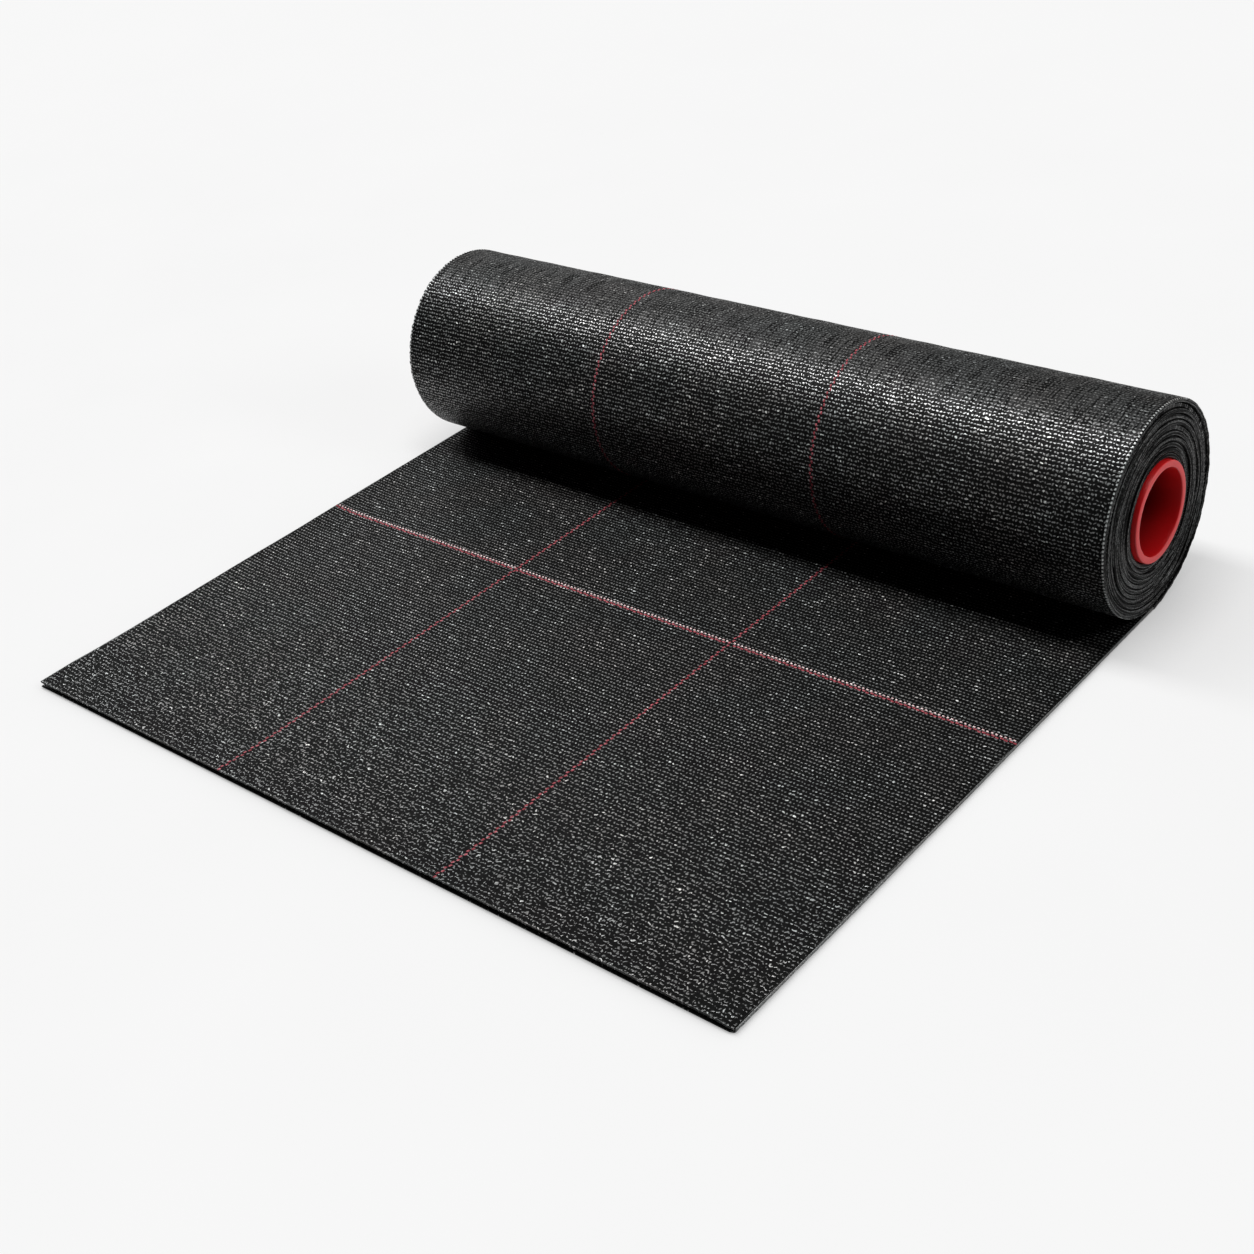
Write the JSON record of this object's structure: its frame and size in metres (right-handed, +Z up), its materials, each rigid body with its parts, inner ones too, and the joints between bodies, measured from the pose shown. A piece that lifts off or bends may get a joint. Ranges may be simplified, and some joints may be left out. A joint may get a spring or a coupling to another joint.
{
  "type": "roll of weed control sheet",
  "caption": "Roll of black woven weed control sheet on a red plastic core, partly unrolled flat on the ground, with red and white marker yarns.",
  "frame": {"origin": "on the ground, under the middle of the whole object", "axes": "+X along the roll towards the end that shows the core, +Y from the laid sheet's front edge towards the roll, +Z up"},
  "size_m": [1.012, 0.8714, 0.2428],
  "materials": {
    "woven_black": "woven polypropylene tapes, slightly glossy",
    "red_yarn": "woven tape, dashed where it passes under the weave",
    "white_yarn": "woven tape, dashed where it passes under the weave",
    "red_plastic": "satin extruded tube",
    "tape": "plain adhesive tape"
  },
  "bodies": {
    "laid_sheet": {"laid_sheet": "woven_black", "left_yarn_laid": "red_yarn", "right_yarn_laid": "red_yarn", "cross_yarn_red": "red_yarn", "cross_yarn_white": "white_yarn"},
    "outer_turn": {"outer_turn": "woven_black", "left_yarn_wound": "red_yarn", "right_yarn_wound": "red_yarn"},
    "roll": {"inner_turns": "woven_black", "core_tube": "red_plastic", "core_tape": "tape"}
  },
  "joints": [
    {"name": "roll_travel", "type": "slide", "parent": "laid_sheet", "child": "outer_turn", "axis": [0, 1, 0], "range_m": [-0.2, 0.385], "deforming": ["laid_sheet", "left_yarn_laid", "right_yarn_laid"]},
    {"name": "roll_turn", "type": "hinge", "parent": "outer_turn", "child": "roll", "pos_m": [0, 0.31433, 0.12282], "axis": [-1, 0, 0], "range_deg": [-96, 184], "deforming": ["outer_turn", "left_yarn_wound", "right_yarn_wound"]}
  ],
  "couplings": [
    {"joint": "roll_turn", "follows": "roll_travel", "rad_per_m": 8.325}
  ]
}
